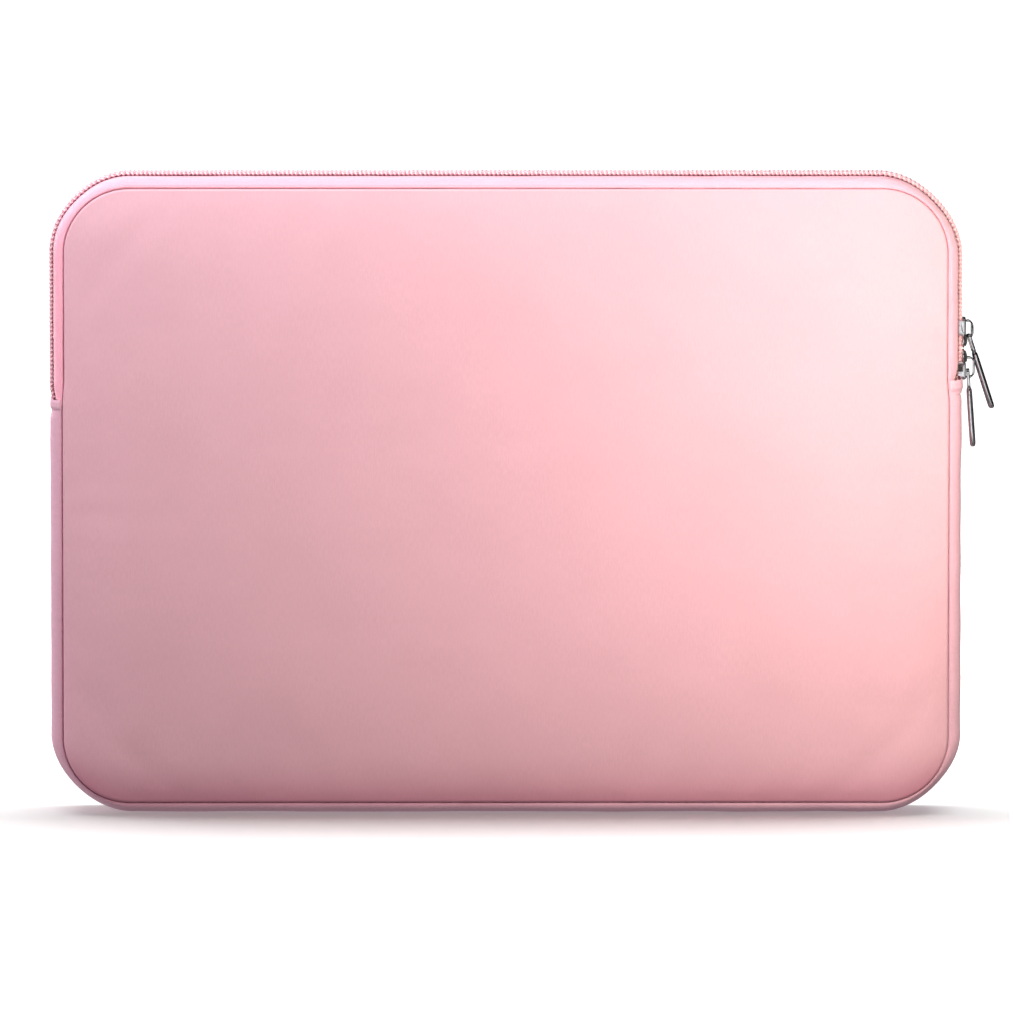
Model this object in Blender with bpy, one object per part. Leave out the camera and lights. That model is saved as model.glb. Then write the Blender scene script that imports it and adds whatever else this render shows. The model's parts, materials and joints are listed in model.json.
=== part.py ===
"""Zipped laptop sleeve for a 13.3-inch laptop, standing on its long bottom edge.

Metres, +Z up, +X along the long side, the front panel faces -Y.
The origin is the centre of the flat strip of the bottom edge.
Two flat panels (shell, foam and lining each) are joined round their rim by a gusset below and by a
zip above. Everything on the rim is swept along one outline, the panel's seam line. A section is a
list of (y, n) points, where n is how far a point stands outside that outline.
"""

import math

import bmesh
import bpy
from mathutils import Vector

# Seam line of the panels: a rounded rectangle
HALF_WIDTH = 0.1694
OUTLINE_BOTTOM = 0.0041
OUTLINE_TOP = 0.2416
CORNER_RADIUS = 0.0254
CORNER_STEPS = 8

# The rim stands less proud where it turns a corner, and along the edge that carries the weight
CORNER_SINK = 0.0007
BOTTOM_SINK = 0.0006

# Panel layers: distance from the middle plane to the inner and the outer face
SHELL_INNER, SHELL_OUTER = 0.0111, 0.0120
FOAM_INNER, FOAM_OUTER = 0.0086, 0.0108
LINING_INNER, LINING_OUTER = 0.0076, 0.0083
LAYER_INSET = 0.0010
SHELL_EDGE = 0.0004

# Rim
RIM_START = 0.0004
GUSSET_SHOULDER_Y = 0.0060
GUSSET_BULGE = 0.0047
GUSSET_OUTER_Y = 0.0116
GUSSET_SHELL_THICKNESS = 0.0009
GUSSET_FOAM_GAP = 0.0003
GUSSET_FOAM_THICKNESS = 0.0014
GUSSET_LINING_Y = 0.0066
GUSSET_LINING_INNER, GUSSET_LINING_OUTER = 0.0007, 0.0014
BINDING_Y_INNER, BINDING_Y_OUTER = 0.0057, 0.0073
BINDING_INNER, BINDING_OUTER = -0.0018, -0.0002
TAPE_SHOULDER_Y = 0.0070
TAPE_OUTER = 0.0034
TAPE_THICKNESS = 0.0007
TAPE_EDGE_Y = 0.0008
COIL_Y_INNER, COIL_Y_OUTER = 0.0008, 0.0031
COIL_INNER, COIL_OUTER = 0.0037, 0.0056
COIL_CHAMFER = 0.0005
SHOULDER_STEPS = 5

# Heights along the two sides
LEFT_ZIP_END = 0.1603
RIGHT_ZIP_END = 0.1667
LEFT_GUSSET_END = 0.1597
RIGHT_GUSSET_END = 0.1664
LEFT_TAB = (0.1557, 0.1600)
RIGHT_TAB = (0.1630, 0.1664)
FOLD_Z = 0.2100
FOLD_GAP = 0.0003
FOLD_AXIS_Y = -0.0125

# End tabs: a folded strip over the shoulders of the gusset
TAB_INNER_Y, TAB_INNER_N = 0.00595, 0.0048
TAB_OUTER_Y, TAB_OUTER_N = 0.0066, 0.0060
TAB_START_ANGLE = 30.0

# Sliders, in their own frame: nose towards +z, x outwards from the seam line
SLIDER_HALF_LENGTH = 0.0057
UPPER_SLIDER_Z = 0.1849
LOWER_SLIDER_Z = 0.1726
SLIDER_TAIL_HALF_WIDTH = 0.00425
SLIDER_NOSE_HALF_WIDTH = 0.0049
TOP_PLATE = (0.00595, 0.00695)
BOTTOM_PLATE = (0.0013, 0.00235)
FLANGE_FOOT = 0.00375
FLANGE_WIDTH = 0.0008
FLANGE_Z = (-0.0050, 0.0018)
BRIDGE_HALF_WIDTH = 0.00045
BRIDGE_Z = (0.0028, 0.0052)
JOIN_DEPTH = 0.0003
CROWN_HALF_WIDTH = 0.0013
CROWN_Z = (-0.0042, 0.0030)
CROWN_THICKNESS = 0.0008
CROWN_FOOT, CROWN_INNER, CROWN_OUTER = 0.0073, 0.00915, 0.0099
CROWN_SLOPE = (0.0015, 0.0009)
CROWN_INNER_SLOPE = (0.0005, 0.0004)

# Pulls, in their own frame: pivot at the origin, hanging along -z, thickness along x
UPPER_PULL_N, LOWER_PULL_N = 0.0082, 0.0079
UPPER_PULL_Z = 0.1837
LOWER_PULL_Z = 0.1702
UPPER_PULL_LEAN = 17.8
LOWER_PULL_LEAN = 4.0
PULL_LENGTH = 0.0294
EYE_HALF_WIDTH = 0.00175
EYE_LEG = 0.0011
EYE_BAR_RADIUS = 0.0006
EYE_FAR_END = 0.00615
EYE_WEB = 0.0007
PULL_SECTIONS = (
    # (distance from the pivot, half width, half thickness)
    (0.0064, 0.0021, 0.00085),
    (0.0100, 0.0023, 0.00090),
    (0.0125, 0.0023, 0.00115),
    (0.0282, 0.0025, 0.00115),
    (PULL_LENGTH, 0.0019, 0.00070),
)
PULL_CHAMFER = 0.0004


def clear_scene():
    for thing in list(bpy.data.objects):
        bpy.data.objects.remove(thing, do_unlink=True)


def make_material(name, colour, roughness, metallic=0.0):
    material = bpy.data.materials.new(name)
    material.use_nodes = True
    shader = material.node_tree.nodes["Principled BSDF"]
    shader.inputs["Base Color"].default_value = (*colour, 1.0)
    shader.inputs["Roughness"].default_value = roughness
    shader.inputs["Metallic"].default_value = metallic
    return material


LOOKS = {
    "outer_fabric": ((0.86, 0.44, 0.52), 0.75, 0.0),
    "foam": ((0.30, 0.30, 0.31), 0.95, 0.0),
    "plush_lining": ((0.90, 0.62, 0.68), 0.95, 0.0),
    "zip_tape": ((0.90, 0.38, 0.45), 0.85, 0.0),
    "zip_coil": ((0.78, 0.30, 0.38), 0.55, 0.0),
    "binding": ((0.84, 0.42, 0.50), 0.85, 0.0),
    "slider_metal": ((0.80, 0.80, 0.82), 0.15, 1.0),
}


def make_object(name, mesh_builder, look, parent=None, at=(0.0, 0.0, 0.0), rotation=(0.0, 0.0, 0.0)):
    """Turn a bmesh into a named object with its own material, faces pointing out."""
    bmesh.ops.recalc_face_normals(mesh_builder, faces=mesh_builder.faces)
    mesh = bpy.data.meshes.new(name)
    mesh_builder.to_mesh(mesh)
    mesh_builder.free()
    thing = bpy.data.objects.new(name, mesh)
    bpy.context.collection.objects.link(thing)
    thing.data.materials.append(make_material(name, *LOOKS[look]))
    thing.parent = parent
    thing.location = at
    thing.rotation_euler = rotation
    mesh.shade_smooth()
    mesh.set_sharp_from_angle(angle=math.radians(35))
    return thing


# ---------------------------------------------------------------- the outline


def corner(centre_x, centre_z, start_angle):
    """Stations of one quarter turn, anticlockwise seen from the front, as (x, z, nx, nz, sink)."""
    stations = []
    for step in range(CORNER_STEPS + 1):
        angle = math.radians(start_angle + 90.0 * step / CORNER_STEPS)
        nx, nz = math.cos(angle), math.sin(angle)
        sink = CORNER_SINK * math.sin(2.0 * angle) ** 2 + BOTTOM_SINK * max(0.0, -nz)
        place = (centre_x + CORNER_RADIUS * nx, centre_z + CORNER_RADIUS * nz)
        stations.append((*place, nx, nz, sink))
    return stations


def top_corners():
    """From the right side over the top to the left side."""
    x, z = HALF_WIDTH - CORNER_RADIUS, OUTLINE_TOP - CORNER_RADIUS
    return corner(x, z, 0.0) + corner(-x, z, 90.0)


def bottom_corners():
    """From the left side under the bottom to the right side."""
    x, z = HALF_WIDTH - CORNER_RADIUS, OUTLINE_BOTTOM + CORNER_RADIUS
    return corner(-x, z, 180.0) + corner(x, z, 270.0)


def right_station(z):
    return (HALF_WIDTH, z, 1.0, 0.0, 0.0)


def left_station(z):
    return (-HALF_WIDTH, z, -1.0, 0.0, 0.0)


def path_over_top(right_z, left_z):
    return [right_station(right_z)] + top_corners() + [left_station(left_z)]


def path_under_bottom(left_z, right_z):
    return [left_station(left_z)] + bottom_corners() + [right_station(right_z)]


def closed_path():
    return top_corners() + bottom_corners()


# ------------------------------------------------------------------- sections


def quarter_ellipse(centre_y, semi_y, semi_n, start_angle=0.0):
    """From the seam up to the crest of a shoulder, on the +y side."""
    points = []
    for step in range(SHOULDER_STEPS + 1):
        angle = math.radians(start_angle + (90.0 - start_angle) * step / SHOULDER_STEPS)
        points.append((centre_y + semi_y * math.cos(angle), RIM_START + semi_n * math.sin(angle)))
    return points


def full_width(half):
    """A half section mirrored to run from the front seam to the back seam."""
    return [(-y, n) for y, n in half] + [(y, n) for y, n in reversed(half)]


def strip(outer, inner):
    return outer + list(reversed(inner))


def gusset_arc(depth):
    """The gusset's curve at a depth below its outer face."""
    semi_y = GUSSET_OUTER_Y - GUSSET_SHOULDER_Y - depth
    return quarter_ellipse(GUSSET_SHOULDER_Y, semi_y, GUSSET_BULGE - RIM_START - depth)


def gusset_layer_section(outer_depth, thickness):
    return strip(full_width(gusset_arc(outer_depth)), full_width(gusset_arc(outer_depth + thickness)))


def gusset_lining_section():
    y, low, high = GUSSET_LINING_Y, GUSSET_LINING_INNER, GUSSET_LINING_OUTER
    return [(-y, low), (-y, high), (y, high), (y, low)]


def tab_section():
    reach_inner = quarter_ellipse(GUSSET_SHOULDER_Y, TAB_INNER_Y, TAB_INNER_N, TAB_START_ANGLE)
    reach_outer = quarter_ellipse(GUSSET_SHOULDER_Y, TAB_OUTER_Y, TAB_OUTER_N, TAB_START_ANGLE)
    return strip(full_width(reach_outer), full_width(reach_inner))


def tape_section(side):
    """One zip tape, from its panel's seam to its edge under the coil. side is -1 front, 1 back."""
    semi_y, semi_n = GUSSET_OUTER_Y - TAPE_SHOULDER_Y, TAPE_OUTER - RIM_START
    outer = quarter_ellipse(TAPE_SHOULDER_Y, semi_y, semi_n)
    inner = quarter_ellipse(TAPE_SHOULDER_Y, semi_y - TAPE_THICKNESS, semi_n - TAPE_THICKNESS)
    outer.append((TAPE_EDGE_Y, TAPE_OUTER))
    inner.append((TAPE_EDGE_Y, TAPE_OUTER - TAPE_THICKNESS))
    return [(side * y, n) for y, n in strip(outer, inner)]


def coil_section(side):
    low, high, cut = COIL_INNER, COIL_OUTER, COIL_CHAMFER
    points = [
        (COIL_Y_INNER, low),
        (COIL_Y_OUTER, low),
        (COIL_Y_OUTER, high - cut),
        (COIL_Y_OUTER - cut, high),
        (COIL_Y_INNER + cut, high),
        (COIL_Y_INNER, high - cut),
    ]
    return [(side * y, n) for y, n in points]


def binding_section(side):
    y0, y1, low, high = BINDING_Y_INNER, BINDING_Y_OUTER, BINDING_INNER, BINDING_OUTER
    return [(side * y, n) for y, n in ((y0, low), (y1, low), (y1, high), (y0, high))]


# --------------------------------------------------------------------- solids


def sunk(n, sink):
    """A height over the seam line where the rim sinks: nothing at the seam, all of it on the crest."""
    return n - sink * min(1.0, max(0.0, (n - RIM_START) / (TAPE_OUTER - RIM_START)))


def sweep(stations, section, closed=False, origin=(0.0, 0.0, 0.0)):
    """A solid band: the section carried along the outline."""
    builder = bmesh.new()
    rings = []
    for x, z, nx, nz, sink in stations:
        levels = [(y, sunk(n, sink)) for y, n in section]
        ring = [Vector((x + nx * n, y, z + nz * n)) - Vector(origin) for y, n in levels]
        rings.append([builder.verts.new(point) for point in ring])
    count = len(section)
    pairs = list(zip(rings, rings[1:]))
    if closed:
        pairs.append((rings[-1], rings[0]))
    for ring, following in pairs:
        for i in range(count):
            j = (i + 1) % count
            builder.faces.new((ring[i], ring[j], following[j], following[i]))
    if not closed:
        builder.faces.new(rings[0])
        builder.faces.new(reversed(rings[-1]))
    return builder


def plate(stations, rings, origin=(0.0, 0.0, 0.0)):
    """A flat solid: the outline repeated at each (n, y) of rings, with its two faces filled."""
    builder = bmesh.new()
    loops = []
    for n, y in rings:
        loop = [Vector((x + nx * n, y, z + nz * n)) - Vector(origin) for x, z, nx, nz, _ in stations]
        loops.append([builder.verts.new(point) for point in loop])
    count = len(stations)
    for loop, following in zip(loops, loops[1:]):
        for i in range(count):
            j = (i + 1) % count
            builder.faces.new((loop[i], loop[j], following[j], following[i]))
    builder.faces.new(loops[0])
    builder.faces.new(reversed(loops[-1]))
    return builder


def extrude_outline(points, axis, low, high):
    """A prism: a flat outline of (a, b) points pulled along an axis.

    For axis "x" the points are (y, z); for axis "y" they are (x, z).
    """
    builder = bmesh.new()
    ends = []
    for level in (low, high):
        if axis == "x":
            loop = [builder.verts.new((level, a, b)) for a, b in points]
        else:
            loop = [builder.verts.new((a, level, b)) for a, b in points]
        ends.append(loop)
    count = len(points)
    for i in range(count):
        j = (i + 1) % count
        builder.faces.new((ends[0][i], ends[0][j], ends[1][j], ends[1][i]))
    builder.faces.new(ends[0])
    builder.faces.new(reversed(ends[1]))
    return builder


def loft(rings):
    """A solid through rings of the same number of points."""
    builder = bmesh.new()
    loops = [[builder.verts.new(point) for point in ring] for ring in rings]
    count = len(rings[0])
    for loop, following in zip(loops, loops[1:]):
        for i in range(count):
            j = (i + 1) % count
            builder.faces.new((loop[i], loop[j], following[j], following[i]))
    builder.faces.new(loops[0])
    builder.faces.new(reversed(loops[-1]))
    return builder


def empty_at(name, location, rotation=(0.0, 0.0, 0.0), parent=None):
    """A hidden frame on a joint's axis, placed in world coordinates."""
    frame = bpy.data.objects.new(name, None)
    bpy.context.collection.objects.link(frame)
    if parent is not None:
        frame.parent = parent
        bpy.context.view_layer.update()
        frame.matrix_parent_inverse = parent.matrix_world.inverted()
    frame.location = location
    frame.rotation_euler = rotation
    return frame


def add_union(target, tool):
    """Join a helper solid to its target and keep the helper out of the model."""
    tool.hide_render = True
    tool.display_type = "WIRE"
    modifier = target.modifiers.new("join_" + tool.name, "BOOLEAN")
    modifier.operation = "UNION"
    modifier.solver = "EXACT"
    modifier.object = tool


# --------------------------------------------------------------------- panels


def shell_rings(side):
    return [
        (0.0, side * SHELL_INNER),
        (0.0, side * (SHELL_OUTER - SHELL_EDGE)),
        (-SHELL_EDGE, side * SHELL_OUTER),
    ]


def layer_rings(side, inner, outer):
    return [(-LAYER_INSET, side * inner), (-LAYER_INSET, side * outer)]


def panel_layers(side):
    """Name part, look and rings of the three layers of one panel."""
    return (
        ("shell", "outer_fabric", shell_rings(side)),
        ("foam", "foam", layer_rings(side, FOAM_INNER, FOAM_OUTER)),
        ("lining", "plush_lining", layer_rings(side, LINING_INNER, LINING_OUTER)),
    )


def build_back_panel():
    for layer, look, rings in panel_layers(1.0):
        make_object("back_" + layer, plate(closed_path(), rings), look)


def build_front_panel(hinge):
    """The front panel is split at the fold, so that its top can hang on the hinge."""
    lower = path_under_bottom(FOLD_Z - FOLD_GAP, FOLD_Z - FOLD_GAP)
    upper = path_over_top(FOLD_Z + FOLD_GAP, FOLD_Z + FOLD_GAP)
    for layer, look, rings in panel_layers(-1.0):
        make_object(f"front_{layer}_lower", plate(lower, rings), look)
        flap = plate(upper, rings, origin=hinge.location)
        make_object(f"front_{layer}_flap", flap, look, parent=hinge)


# ------------------------------------------------------------------------ rim


def build_gusset():
    path = path_under_bottom(LEFT_GUSSET_END, RIGHT_GUSSET_END)
    shell = gusset_layer_section(0.0, GUSSET_SHELL_THICKNESS)
    foam_depth = GUSSET_SHELL_THICKNESS + GUSSET_FOAM_GAP
    foam = gusset_layer_section(foam_depth, GUSSET_FOAM_THICKNESS)
    make_object("gusset_shell", sweep(path, shell), "outer_fabric")
    make_object("gusset_foam", sweep(path, foam), "foam")
    make_object("gusset_lining", sweep(path, gusset_lining_section()), "plush_lining")


def build_end_tabs():
    left = [left_station(z) for z in LEFT_TAB]
    right = [right_station(z) for z in RIGHT_TAB]
    make_object("left_end_tab", sweep(left, tab_section()), "outer_fabric")
    make_object("right_end_tab", sweep(right, tab_section()), "outer_fabric")


def build_zip(hinge):
    """Back half in one length; front half split at the fold into two sides and the flap's run."""
    back = path_over_top(RIGHT_ZIP_END, LEFT_ZIP_END)
    right = [right_station(z) for z in (RIGHT_ZIP_END, FOLD_Z - FOLD_GAP)]
    left = [left_station(z) for z in (LEFT_ZIP_END, FOLD_Z - FOLD_GAP)]
    flap = path_over_top(FOLD_Z + FOLD_GAP, FOLD_Z + FOLD_GAP)
    for part, look, section in (
        ("tape", "zip_tape", tape_section),
        ("coil", "zip_coil", coil_section),
    ):
        make_object(f"back_zip_{part}", sweep(back, section(1.0)), look)
        make_object(f"front_zip_{part}_right", sweep(right, section(-1.0)), look)
        make_object(f"front_zip_{part}_left", sweep(left, section(-1.0)), look)
        run = sweep(flap, section(-1.0), origin=hinge.location)
        make_object(f"front_zip_{part}_flap", run, look, parent=hinge)


def build_bindings(hinge):
    """Fabric tape folded over the raw edges of the seams, inside the sleeve."""
    lower = path_under_bottom(FOLD_Z - FOLD_GAP, FOLD_Z - FOLD_GAP)
    upper = path_over_top(FOLD_Z + FOLD_GAP, FOLD_Z + FOLD_GAP)
    make_object("back_seam_binding", sweep(closed_path(), binding_section(1.0), True), "binding")
    make_object("front_seam_binding_lower", sweep(lower, binding_section(-1.0)), "binding")
    run = sweep(upper, binding_section(-1.0), origin=hinge.location)
    make_object("front_seam_binding_flap", run, "binding", parent=hinge)


# -------------------------------------------------------------------- sliders


def mirror_outline(half):
    """Close a right-hand outline of (y, z) points with its mirror image."""
    return half + [(-y, z) for y, z in reversed(half)]


def slider_plate_outline():
    tail, nose, end = SLIDER_TAIL_HALF_WIDTH, SLIDER_NOSE_HALF_WIDTH, SLIDER_HALF_LENGTH
    return mirror_outline(
        [
            (tail - 0.0010, -end),
            (tail, -end + 0.0010),
            (tail, 0.0005),
            (nose, 0.0026),
            (nose, end - 0.0013),
            (nose - 0.0014, end),
        ]
    )


def flange_outline(side):
    """The guide wall along one edge of the slider's tail; the nose stays open for the zip's two halves."""
    outer = SLIDER_TAIL_HALF_WIDTH - 0.0001
    inner = SLIDER_TAIL_HALF_WIDTH - FLANGE_WIDTH
    tail, nose = FLANGE_Z
    return [(side * y, z) for y, z in ((inner, tail), (outer, tail), (outer, nose), (inner, nose))]


def build_slider_body(name, frame):
    body = make_object(
        name, extrude_outline(slider_plate_outline(), "x", *TOP_PLATE), "slider_metal", frame
    )
    flange_range = (FLANGE_FOOT, TOP_PLATE[0] + JOIN_DEPTH)
    for label, side in (("left", -1.0), ("right", 1.0)):
        wall = extrude_outline(flange_outline(side), "x", *flange_range)
        add_union(body, make_object(f"{name}_{label}_flange", wall, "slider_metal", frame))
    bottom = extrude_outline(slider_plate_outline(), "x", *BOTTOM_PLATE)
    add_union(body, make_object(f"{name}_bottom_plate", bottom, "slider_metal", frame))
    bridge = [(-1.0, BRIDGE_Z[0]), (1.0, BRIDGE_Z[0]), (1.0, BRIDGE_Z[1]), (-1.0, BRIDGE_Z[1])]
    bridge = [(side * BRIDGE_HALF_WIDTH, z) for side, z in bridge]
    reach = (BOTTOM_PLATE[1] - JOIN_DEPTH, TOP_PLATE[0] + JOIN_DEPTH)
    post = extrude_outline(bridge, "x", *reach)
    add_union(body, make_object(f"{name}_bridge", post, "slider_metal", frame))


def build_crown(name, frame):
    """The strap over the top plate that the pull hangs in."""
    tail, nose = CROWN_Z
    run, rise = CROWN_SLOPE
    inner_run, inner_rise = CROWN_INNER_SLOPE
    inner_tail, inner_nose = tail + CROWN_THICKNESS, nose - CROWN_THICKNESS
    outline = [
        (CROWN_FOOT, tail),
        (CROWN_OUTER - rise, tail),
        (CROWN_OUTER, tail + run),
        (CROWN_OUTER, nose - run),
        (CROWN_OUTER - rise, nose),
        (CROWN_FOOT, nose),
        (CROWN_FOOT, inner_nose),
        (CROWN_INNER - inner_rise, inner_nose),
        (CROWN_INNER, inner_nose - inner_run),
        (CROWN_INNER, inner_tail + inner_run),
        (CROWN_INNER - inner_rise, inner_tail),
        (CROWN_FOOT, inner_tail),
    ]
    strap = extrude_outline(outline, "y", -CROWN_HALF_WIDTH, CROWN_HALF_WIDTH)
    make_object(name, strap, "slider_metal", frame)


def eye_frame():
    """The rectangular loop at the top of a pull; its upper bar is the pivot."""
    outer_y, inner_y = EYE_HALF_WIDTH + EYE_LEG, EYE_HALF_WIDTH
    top, bottom = EYE_BAR_RADIUS, -(EYE_FAR_END + EYE_WEB)
    outer = [(-outer_y, bottom), (outer_y, bottom), (outer_y, top), (-outer_y, top)]
    inner = [(-inner_y, -EYE_FAR_END), (inner_y, -EYE_FAR_END), (inner_y, -top), (-inner_y, -top)]
    builder = bmesh.new()
    sides = []
    for x in (-EYE_BAR_RADIUS, EYE_BAR_RADIUS):
        loops = [[builder.verts.new((x, y, z)) for y, z in loop] for loop in (outer, inner)]
        sides.append(loops)
    for i in range(4):
        j = (i + 1) % 4
        for outer_loop, inner_loop in sides:
            builder.faces.new((outer_loop[i], outer_loop[j], inner_loop[j], inner_loop[i]))
        for loop in (0, 1):
            near, far = sides[0][loop], sides[1][loop]
            builder.faces.new((near[i], near[j], far[j], far[i]))
    return builder


def pull_section(distance, half_width, half_thickness):
    cut = PULL_CHAMFER
    x, y = half_thickness, half_width
    corners = [
        (x, y - cut),
        (x - cut, y),
        (-x + cut, y),
        (-x, y - cut),
        (-x, -y + cut),
        (-x + cut, -y),
        (x - cut, -y),
        (x, -y + cut),
    ]
    return [(a, b, -distance) for a, b in corners]


def build_pull(name, slider_frame, pivot_n, pivot_z, lean):
    """The eye and the bar, with the origin on the pivot."""
    pivot = empty_at(
        name + "_pivot",
        (HALF_WIDTH + pivot_n, 0.0, pivot_z),
        (0.0, -math.radians(lean), 0.0),
        slider_frame,
    )
    pull = make_object(name, eye_frame(), "slider_metal", pivot)
    bar = loft([pull_section(*section) for section in PULL_SECTIONS])
    add_union(pull, make_object(name + "_bar", bar, "slider_metal", pivot))


def build_sliders():
    """Two sliders, nose to nose; the upper one is turned over end for end."""
    for name, z, turn, pull in (
        ("lower", LOWER_SLIDER_Z, 0.0, (LOWER_PULL_N, LOWER_PULL_Z, LOWER_PULL_LEAN)),
        ("upper", UPPER_SLIDER_Z, math.pi, (UPPER_PULL_N, UPPER_PULL_Z, UPPER_PULL_LEAN)),
    ):
        frame = empty_at(f"{name}_slider_frame", (HALF_WIDTH, 0.0, z), (turn, 0.0, 0.0))
        build_slider_body(f"{name}_slider_body", frame)
        build_crown(f"{name}_slider_crown", frame)
        build_pull(f"{name}_pull", frame, *pull)


def build():
    clear_scene()
    hinge = empty_at("mouth_flap_hinge", (0.0, FOLD_AXIS_Y, FOLD_Z))
    build_back_panel()
    build_front_panel(hinge)
    build_gusset()
    build_end_tabs()
    build_zip(hinge)
    build_bindings(hinge)
    build_sliders()
    bpy.context.view_layer.update()


build()
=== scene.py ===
"""Looks of the zipped laptop sleeve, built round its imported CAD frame.

Metres, +Z up, +X along the long side, the front panel faces -Y. Everything on the rim is modelled
flat first, as (s, y, n): s runs along the seam line, y across the rim and n out from the seam line.
wrap() then bends it round the outline.
"""

import json
import math

import bmesh
import bpy
import numpy as np
from mathutils import Matrix, Vector


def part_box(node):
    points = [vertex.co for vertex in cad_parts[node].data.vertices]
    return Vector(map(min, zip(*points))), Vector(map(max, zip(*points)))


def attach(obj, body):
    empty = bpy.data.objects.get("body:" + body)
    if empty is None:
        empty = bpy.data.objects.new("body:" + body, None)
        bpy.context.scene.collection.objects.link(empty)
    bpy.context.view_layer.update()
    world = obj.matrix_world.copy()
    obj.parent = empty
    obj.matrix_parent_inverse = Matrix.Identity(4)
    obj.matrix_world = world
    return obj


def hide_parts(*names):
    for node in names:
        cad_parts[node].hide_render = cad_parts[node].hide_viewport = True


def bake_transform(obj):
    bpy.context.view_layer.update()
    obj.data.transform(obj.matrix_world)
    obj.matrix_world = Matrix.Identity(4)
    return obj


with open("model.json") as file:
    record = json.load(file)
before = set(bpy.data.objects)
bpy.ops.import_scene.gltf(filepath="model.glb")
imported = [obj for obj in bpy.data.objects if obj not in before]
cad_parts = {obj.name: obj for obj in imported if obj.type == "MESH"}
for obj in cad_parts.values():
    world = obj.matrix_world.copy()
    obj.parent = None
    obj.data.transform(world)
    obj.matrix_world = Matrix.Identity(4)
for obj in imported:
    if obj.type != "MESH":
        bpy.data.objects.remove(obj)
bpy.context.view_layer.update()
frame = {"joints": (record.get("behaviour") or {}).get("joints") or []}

MM = 0.001


def in_mm(*rows):
    """Rows of lengths given in millimetres."""
    return [tuple(value * MM for value in row) for row in rows]


def smooth(t):
    t = np.clip(t, 0.0, 1.0)
    return t * t * (3.0 - 2.0 * t)


def low(node):
    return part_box(node)[0]


def high(node):
    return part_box(node)[1]


def pivot_of(joint_name):
    joint = next(j for j in frame["joints"] if j["name"] == joint_name)
    return Vector(joint["pos_m"])


# Seam line of the panels: a rounded rectangle
HALF_WIDTH = high("back_shell").x
OUTLINE_BOTTOM = low("back_shell").z
OUTLINE_TOP = high("back_shell").z
CORNER_RADIUS = 25.4 * MM
CORNER_X = HALF_WIDTH - CORNER_RADIUS
CORNER_RISE = (OUTLINE_TOP - OUTLINE_BOTTOM) / 2 - CORNER_RADIUS
MIDDLE_Z = (OUTLINE_TOP + OUTLINE_BOTTOM) / 2
CORNER_SINK = 0.7 * MM
BOTTOM_SINK = 0.6 * MM
LOWER_CORNER_SINK, SLIDER_CORNER_SINK = 0.75 * MM, 1.0 * MM
SINK_START, SINK_END = 0.4 * MM, 3.4 * MM

# Layers of a panel: distance from the middle plane to the face, and thickness
PANEL_FACE = high("back_shell").y
ROLL_RADIUS = 1.0 * MM
SEAM_Y = PANEL_FACE - ROLL_RADIUS
CROWN, CROWN_LENGTH = 3.6 * MM, 14.5 * MM
SAG, SAG_LENGTH = 1.1 * MM, 3.5 * MM
SKIN_THICKNESS = 0.5 * MM
FOAM_FACE, FOAM_THICKNESS = high("back_foam").y, 2.1 * MM
LINING_FACE, LINING_THICKNESS = high("back_lining").y, 0.6 * MM

COIL_PITCH = 1.645 * MM

# The stuffed part below the zip stands a little wider than the zipped part above it
FULLER, FULLER_Z, FULLER_BLEND = 0.0038, 0.1630, 0.0100
SEAM_INSET = 0.2 * MM


# --------------------------------------------------------------- the seam line

LEGS = (2 * CORNER_RISE, 2 * CORNER_X, 2 * CORNER_RISE, 2 * CORNER_X)
TURN = CORNER_RADIUS * math.pi / 2
PERIMETER = sum(LEGS) + 4 * TURN
LEG_STARTS = ((1, -1), (1, 1), (-1, 1), (-1, -1))


def rim_frame(s):
    """Place and outward normal at distance s along the seam line, from the foot of the right side upwards."""
    s = np.mod(np.asarray(s, float), PERIMETER)
    x, z, nx, nz = (np.zeros_like(s) for _ in range(4))
    begin = 0.0
    for leg, length in enumerate(LEGS):
        facing = leg * math.pi / 2
        centre_x, centre_z = LEG_STARTS[leg][0] * CORNER_X, MIDDLE_Z + LEG_STARTS[leg][1] * CORNER_RISE
        gone = np.clip(s - begin, 0.0, length)
        angle = facing + np.clip(s - begin - length, 0.0, TURN) / CORNER_RADIUS
        here = (s >= begin) & (s <= begin + length + TURN)
        foot_x = centre_x - gone * math.sin(facing)
        foot_z = centre_z + gone * math.cos(facing)
        x = np.where(here, foot_x + CORNER_RADIUS * np.cos(angle), x)
        z = np.where(here, foot_z + CORNER_RADIUS * np.sin(angle), z)
        nx = np.where(here, np.cos(angle), nx)
        nz = np.where(here, np.sin(angle), nz)
        begin += length + TURN
    return x, z, nx, nz


def fuller(z):
    """How much wider than the seam line the sleeve stands at a height."""
    return 1.0 + FULLER * (1.0 - smooth((z - FULLER_Z) / FULLER_BLEND + 0.5))


def wrap(s, y, n):
    """World points for flat rim points. The rim stands less proud at the corners and underneath."""
    x, z, nx, nz = rim_frame(s)
    turned = np.abs(2.0 * nx * nz)
    sink = CORNER_SINK * turned**2 + BOTTOM_SINK * np.maximum(0.0, -nz)
    sink = sink + LOWER_CORNER_SINK * np.where(nz < 0.0, turned, 0.0)
    sink = sink + SLIDER_CORNER_SINK * np.where((nz > 0.0) & (nx > 0.0), turned, 0.0)
    out = n - sink * np.clip((n - SINK_START) / (SINK_END - SINK_START), 0.0, 1.0)
    return np.stack(((x + nx * out) * fuller(z), y, z + nz * out), axis=-1)


def right_side(z):
    return z - (MIDDLE_Z - CORNER_RISE)


def left_side(z):
    return LEGS[0] + 2 * TURN + LEGS[1] + (MIDDLE_Z + CORNER_RISE - z)


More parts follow.
